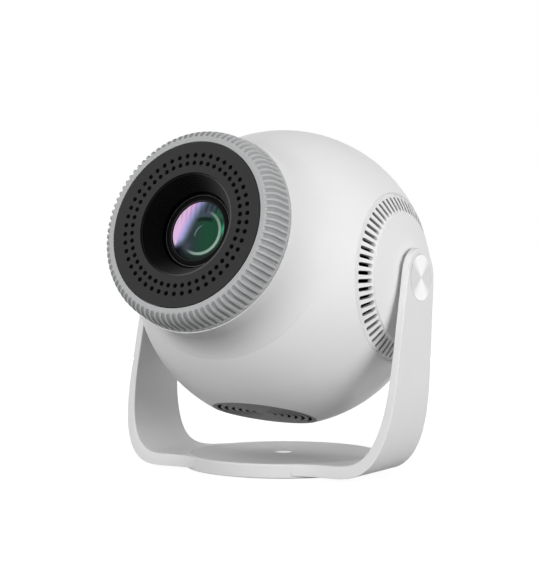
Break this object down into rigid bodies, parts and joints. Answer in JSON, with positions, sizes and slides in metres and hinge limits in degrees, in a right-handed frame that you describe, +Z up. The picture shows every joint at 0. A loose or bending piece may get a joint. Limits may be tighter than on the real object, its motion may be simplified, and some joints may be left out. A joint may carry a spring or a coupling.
{
  "type": "video projector",
  "caption": "Ball-shaped LED video projector: a head that tilts in a U-shaped stand with a round base, a grooved focus ring that slides the recessed lens, side grilles and rear sockets.",
  "frame": {"origin": "mouth of the tripod thread, at the centre of the base's underside, level with the rubber pad's sole", "axes": "+Z up; the lens looks to -Y, tilted 15.5 degrees up in the rest pose; +X is the right-hand side seen from the front"},
  "size_m": [0.1644, 0.187, 0.1825],
  "materials": {
    "body_white": "satin",
    "cover_white": "satin",
    "ring_grey": "satin",
    "panel_charcoal": "satin",
    "hood_black": "matte",
    "inner_black": "matte",
    "lens_glass": "gloss",
    "spun_metal": "brushed",
    "steel": "satin",
    "sink_aluminium": "satin",
    "friction_black": "matte",
    "pad_rubber": "matte",
    "board_green": "satin",
    "led_base": "satin",
    "ir_red": "gloss"
  },
  "bodies": {
    "stand": {"stand_bracket": "body_white", "base_cover": "cover_white", "base_weight": "steel", "tripod_insert": "steel", "base_pad": "pad_rubber", "pivot_cap_left": "spun_metal", "pivot_cap_right": "spun_metal", "pivot_bolt_left": "steel", "pivot_bolt_right": "steel", "pivot_nut_left": "steel", "pivot_nut_right": "steel", "friction_washer_left": "friction_black", "friction_washer_right": "friction_black"},
    "head": {"front_shell": "body_white", "rear_cover": "body_white", "bottom_vent": "body_white", "side_grille_left": "cover_white", "side_grille_right": "cover_white", "front_panel": "panel_charcoal", "rear_panel": "panel_charcoal", "lens_hood": "hood_black", "grille_mesh_left": "hood_black", "grille_mesh_right": "hood_black", "vent_filter": "hood_black", "lens_mount": "inner_black", "engine_housing": "inner_black", "fan_frame": "inner_black", "speaker": "inner_black", "audio_socket": "inner_black", "dc_inlet": "inner_black", "front_fresnel": "lens_glass", "lcd_panel": "lens_glass", "rear_fresnel": "lens_glass", "condenser_lens": "lens_glass", "pivot_hub_left": "steel", "pivot_hub_right": "steel", "cover_screws": "steel", "guide_rods": "steel", "hdmi_socket": "steel", "usb_socket": "steel", "heat_sink": "sink_aluminium", "main_board": "board_green", "power_board": "board_green", "io_board": "board_green", "led_module": "led_base", "ir_window": "ir_red"},
    "focus_ring": {"focus_ring": "ring_grey"},
    "lens_unit": {"lens_barrel": "inner_black", "lens_carrier": "inner_black", "lens_retaining_ring": "hood_black", "front_lens": "lens_glass", "middle_lens": "lens_glass", "lens_spacer": "inner_black", "rear_lens": "lens_glass", "rear_lens_ring": "inner_black"},
    "fan_rotor": {"fan_rotor": "inner_black"},
    "power_button": {"power_button": "body_white"}
  },
  "joints": [
    {"name": "head_tilt", "type": "hinge", "parent": "stand", "child": "head", "pos_m": [0, 0, 0.1025], "axis": [-1, 0, 0], "range_deg": [-45.5, 194.5]},
    {"name": "focus_turn", "type": "hinge", "parent": "head", "child": "focus_ring", "pos_m": [0, 0, 0.1025], "axis": [0, -0.9636, 0.2672], "range_deg": [-60, 60]},
    {"name": "lens_slide", "type": "slide", "parent": "head", "child": "lens_unit", "axis": [0, -0.9636, 0.2672], "range_m": [-0.0035, 0.0035]},
    {"name": "fan_spin", "type": "hinge", "parent": "head", "child": "fan_rotor", "pos_m": [0, 0, 0.1025], "axis": [1, 0, 0], "continuous": true},
    {"name": "button_press", "type": "slide", "parent": "head", "child": "power_button", "axis": [0, -0.9636, 0.2672], "range_m": [0, 0.0012], "stiffness_N_per_m": 400, "springref_m": -0.001}
  ],
  "couplings": [
    {"joint": "lens_slide", "follows": "focus_turn", "m_per_rad": 0.0033423}
  ]
}
